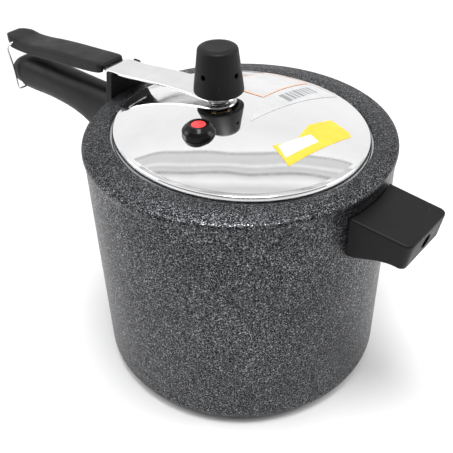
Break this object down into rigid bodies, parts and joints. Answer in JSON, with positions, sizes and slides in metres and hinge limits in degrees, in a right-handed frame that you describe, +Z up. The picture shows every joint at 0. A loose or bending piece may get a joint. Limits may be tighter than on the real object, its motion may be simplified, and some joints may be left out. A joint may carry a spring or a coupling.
{
  "type": "stovetop pressure cooker",
  "caption": "Inner-lid stovetop pressure cooker with an oval lid on a sprung strap, fork fulcrum, wire bail, weighted vent, safety valve and two handles.",
  "frame": {"origin": "centre of the pot's flat base, on the surface that it stands on", "axes": "+Z up along the pot's axis, +X towards the short helper handle, the long handle along -X"},
  "size_m": [0.4086, 0.2224, 0.2465],
  "materials": {
    "hammered_paint": "hammered silver-on-black enamel over aluminium",
    "polished_aluminium": "mirror polished",
    "bare_aluminium": "satin",
    "bright_steel": "bright",
    "brass": "turned",
    "black_phenolic": "satin moulded phenolic",
    "grey_silicone": "matte",
    "red_plastic": "glossy"
  },
  "bodies": {
    "pot": {"pot_body": "hammered_paint", "handle_bracket": "bare_aluminium", "lower_handle": "black_phenolic", "lower_handle_screw": "bright_steel", "helper_bracket": "bare_aluminium", "helper_handle": "black_phenolic", "helper_screw": "bright_steel", "handle_rivet_1": "bare_aluminium", "handle_rivet_2": "bare_aluminium", "helper_rivet_1": "bare_aluminium", "helper_rivet_2": "bare_aluminium"},
    "lid": {"lid": "polished_aluminium", "lid_gasket": "grey_silicone", "strap": "bright_steel", "upper_grip": "black_phenolic", "grip_screw_1": "bright_steel", "grip_screw_2": "bright_steel", "vent_stem": "brass", "stem_seal": "grey_silicone", "stem_spacer": "bright_steel", "stem_spring_washer": "bright_steel", "stem_nut": "bright_steel", "valve_housing": "black_phenolic", "valve_seal": "grey_silicone", "valve_nut": "brass", "valve_spring": "bright_steel"},
    "weight": {"weight_cover": "black_phenolic", "weight_core": "brass"},
    "plunger": {"valve_plunger": "red_plastic", "plunger_clip": "bright_steel"},
    "bail": {"wire_bail": "bright_steel"}
  },
  "joints": [
    {"name": "lid_lever", "type": "hinge", "parent": "pot", "child": "lid", "pos_m": [-0.1153, 0, 0.2022], "axis": [0, 1, 0], "range_deg": [0, 5]},
    {"name": "bail_swing", "type": "hinge", "parent": "lid", "child": "bail", "pos_m": [-0.2415, 0, 0.1958], "axis": [0, 1, 0], "range_deg": [0, 120]},
    {"name": "weight_lift", "type": "slide", "parent": "lid", "child": "weight", "axis": [0, 0, 1], "range_m": [0, 0.025]},
    {"name": "plunger_lift", "type": "slide", "parent": "lid", "child": "plunger", "axis": [0, 0, 1], "range_m": [0, 0.0025], "stiffness_N_per_m": 500, "springref_m": -0.001, "deforming": ["valve_spring"]}
  ],
  "couplings": [
    {"joint": "bail_swing", "follows": "lid_lever", "ratio": 24}
  ]
}
